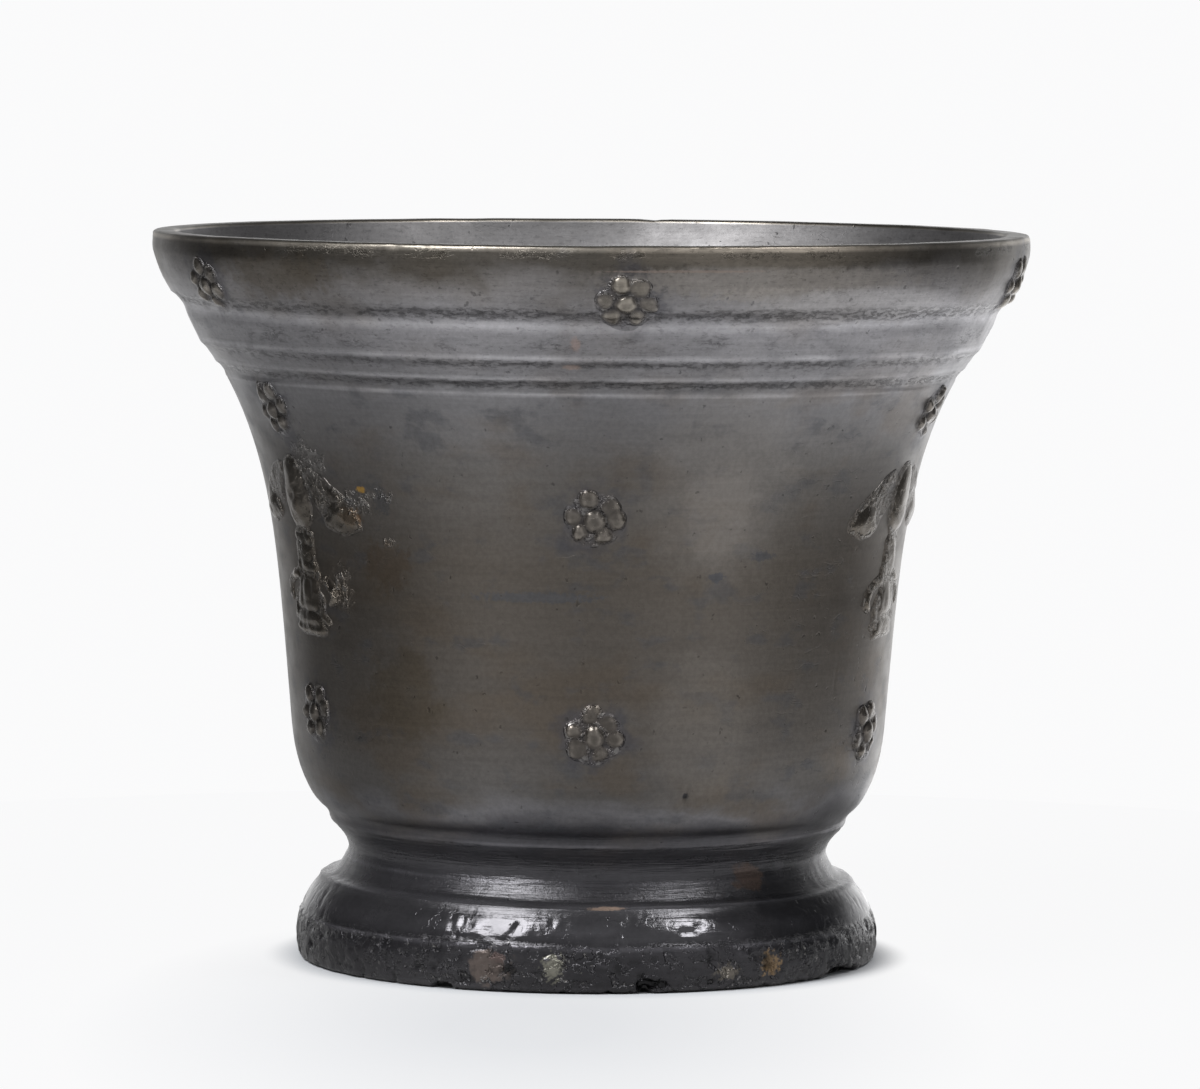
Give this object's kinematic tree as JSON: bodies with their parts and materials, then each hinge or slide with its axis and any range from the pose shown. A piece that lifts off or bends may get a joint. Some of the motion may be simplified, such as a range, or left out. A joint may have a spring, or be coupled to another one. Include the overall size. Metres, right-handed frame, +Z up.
{
  "type": "mortar bowl",
  "caption": "Footed cast bronze mortar for grinding, flared under a moulded cornice and plain lip, with applied rosettes and lilies.",
  "frame": {"origin": "middle of the foot's underside, on the surface that the bowl stands on", "axes": "+Z up along the axis of the bowl, -Y towards the front column of rosettes"},
  "size_m": [0.16, 0.1623, 0.133],
  "materials": {
    "vessel_bronze": "dark brown-grey patina, satin, worn brighter on the edges",
    "rosette_bronze": "dark patina, rubbed brighter on the petals",
    "lily_bronze": "dark patina, rubbed brighter on the crests"
  },
  "bodies": {
    "root": {"vessel": "vessel_bronze", "lip_rosette_front": "rosette_bronze", "mid_rosette_front": "rosette_bronze", "low_rosette_front": "rosette_bronze", "lip_rosette_right": "rosette_bronze", "high_rosette_right": "rosette_bronze", "lily_right": "lily_bronze", "low_rosette_right": "rosette_bronze", "lip_rosette_right_back": "rosette_bronze", "mid_rosette_right_back": "rosette_bronze", "low_rosette_right_back": "rosette_bronze", "lip_rosette_back": "rosette_bronze", "high_rosette_back": "rosette_bronze", "lily_back": "lily_bronze", "low_rosette_back": "rosette_bronze", "lip_rosette_left_back": "rosette_bronze", "mid_rosette_left_back": "rosette_bronze", "low_rosette_left_back": "rosette_bronze", "lip_rosette_left": "rosette_bronze", "high_rosette_left": "rosette_bronze", "lily_left": "lily_bronze", "low_rosette_left": "rosette_bronze"}
  },
  "joints": []
}
